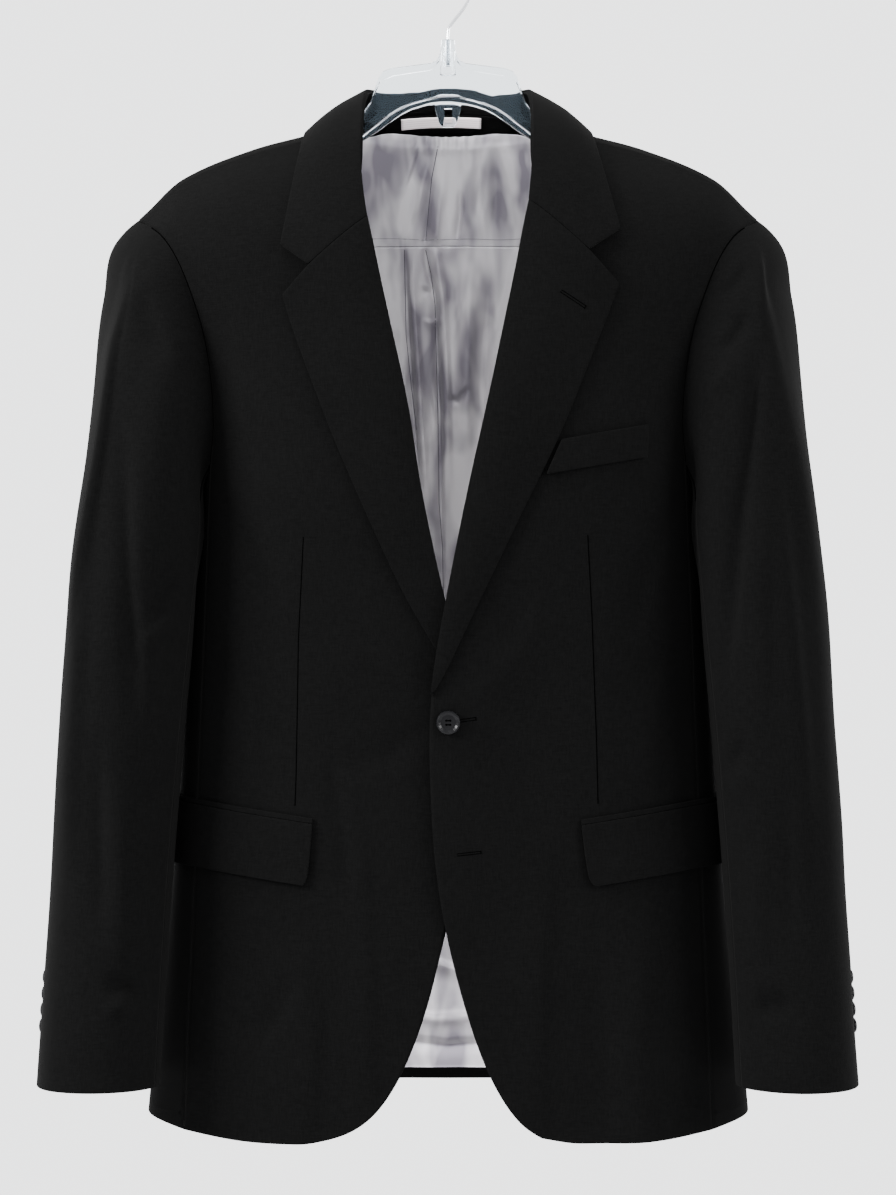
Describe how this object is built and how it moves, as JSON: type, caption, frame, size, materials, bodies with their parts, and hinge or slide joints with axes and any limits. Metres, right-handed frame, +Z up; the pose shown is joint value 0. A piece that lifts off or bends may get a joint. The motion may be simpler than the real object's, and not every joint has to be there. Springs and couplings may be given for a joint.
{
  "type": "blazer on hanger",
  "caption": "Single-breasted wool blazer with notched lapels, flap pockets and a half lining, hung open-necked on a clear hanger with a wire hook.",
  "frame": {"origin": "inside of the top of the hanger's hook, where the rail bears", "axes": "+Z up, -Y the front of the blazer, +X the wearer's left"},
  "size_m": [0.5892, 0.2168, 0.8665],
  "materials": {
    "wool": "fine black worsted, matt with a faint sheen",
    "lining": "silver-grey satin",
    "label": "bare woven ribbon",
    "button": "black, half gloss",
    "clear_plastic": "clear moulded",
    "steel": "bright wire"
  },
  "bodies": {
    "root": {"back_left": "wool", "back_right": "wool", "breast_welt": "wool", "button_front": "button", "button_lower": "button", "collar": "wool", "collar_stand": "wool", "cuff_button_left_1": "button", "cuff_button_left_2": "button", "cuff_button_left_3": "button", "cuff_button_left_4": "button", "cuff_button_right_1": "button", "cuff_button_right_2": "button", "cuff_button_right_3": "button", "cuff_button_right_4": "button", "front_left": "wool", "front_right": "wool", "hanger": "clear_plastic", "hanger_loop": "wool", "hook": "steel", "label": "label", "lapel_left": "wool", "lapel_right": "wool", "lining_back": "lining", "lining_yoke": "lining", "neck_facing": "wool", "pocket_flap_left": "wool", "pocket_flap_right": "wool", "pocket_jet_left": "wool", "pocket_jet_right": "wool", "side_left": "wool", "side_right": "wool", "sleeve_top_left": "wool", "sleeve_top_right": "wool", "sleeve_under_left": "wool", "sleeve_under_right": "wool"}
  },
  "joints": []
}
